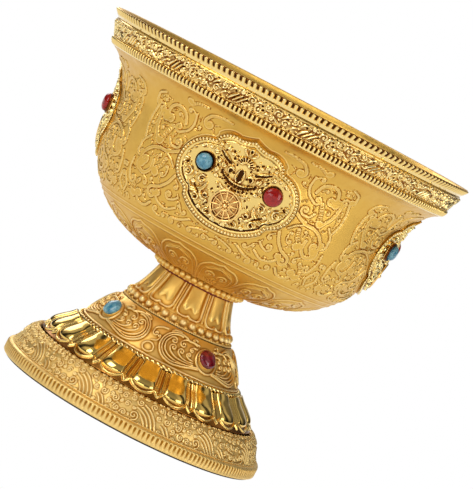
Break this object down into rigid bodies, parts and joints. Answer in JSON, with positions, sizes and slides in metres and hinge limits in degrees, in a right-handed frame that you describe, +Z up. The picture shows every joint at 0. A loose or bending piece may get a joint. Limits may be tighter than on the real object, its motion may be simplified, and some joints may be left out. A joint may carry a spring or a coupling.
{
  "type": "offering bowl",
  "caption": "Footed devotional offering bowl in gilt metal, with a flared ornamented rim, lobed stone-set medallions on the wall and a bell-shaped lotus foot.",
  "frame": {"origin": "centre of the flat base, on the bowl's axis", "axes": "+Z up along the bowl's axis, front medallion towards -Y"},
  "size_m": [0.12, 0.12, 0.107],
  "materials": {
    "satin_gold": "matte satin gilding",
    "polished_gold": "polished gilding",
    "turquoise": "polished cabochon",
    "coral": "polished cabochon",
    "garnet": "polished cabochon",
    "felt": "dark felt",
    "red_fibre": "dark red fibre washer",
    "steel": "zinc plated"
  },
  "bodies": {
    "root": {"base_pad": "felt", "base_rim": "satin_gold", "foot_skirt": "satin_gold", "foot_dome": "satin_gold", "neck_petal_collar": "satin_gold", "neck_pearl_ring": "satin_gold", "neck_rope_wire": "satin_gold", "foot_rope_ring": "satin_gold", "bowl_pearl_ring": "satin_gold", "bowl_shell": "satin_gold", "lotus_petal_ring": "polished_gold", "rim_band": "polished_gold", "rim_upper_beading": "polished_gold", "rim_lower_beading": "polished_gold", "seam_washer": "red_fibre", "clamp_stud": "steel", "clamp_washer": "steel", "clamp_nut": "steel", "front_medallion_plate": "polished_gold", "front_medallion_border": "polished_gold", "front_medallion_wheel": "polished_gold", "front_medallion_crest": "polished_gold", "front_medallion_turquoise_bezel": "polished_gold", "front_medallion_coral_bezel": "polished_gold", "front_medallion_turquoise_stone": "turquoise", "front_medallion_coral_stone": "coral", "right_medallion_plate": "polished_gold", "right_medallion_border": "polished_gold", "right_medallion_wheel": "polished_gold", "right_medallion_crest": "polished_gold", "right_medallion_turquoise_bezel": "polished_gold", "right_medallion_coral_bezel": "polished_gold", "right_medallion_turquoise_stone": "turquoise", "right_medallion_coral_stone": "coral", "back_medallion_plate": "polished_gold", "back_medallion_border": "polished_gold", "back_medallion_wheel": "polished_gold", "back_medallion_crest": "polished_gold", "back_medallion_turquoise_bezel": "polished_gold", "back_medallion_coral_bezel": "polished_gold", "back_medallion_turquoise_stone": "turquoise", "back_medallion_coral_stone": "coral", "left_medallion_plate": "polished_gold", "left_medallion_border": "polished_gold", "left_medallion_wheel": "polished_gold", "left_medallion_crest": "polished_gold", "left_medallion_turquoise_bezel": "polished_gold", "left_medallion_coral_bezel": "polished_gold", "left_medallion_turquoise_stone": "turquoise", "left_medallion_coral_stone": "coral", "dome_front_right_garnet_bezel": "satin_gold", "dome_front_right_garnet_stone": "garnet", "dome_back_right_turquoise_bezel": "satin_gold", "dome_back_right_turquoise_stone": "turquoise", "dome_back_left_garnet_bezel": "satin_gold", "dome_back_left_garnet_stone": "garnet", "dome_front_left_turquoise_bezel": "satin_gold", "dome_front_left_turquoise_stone": "turquoise"}
  },
  "joints": []
}
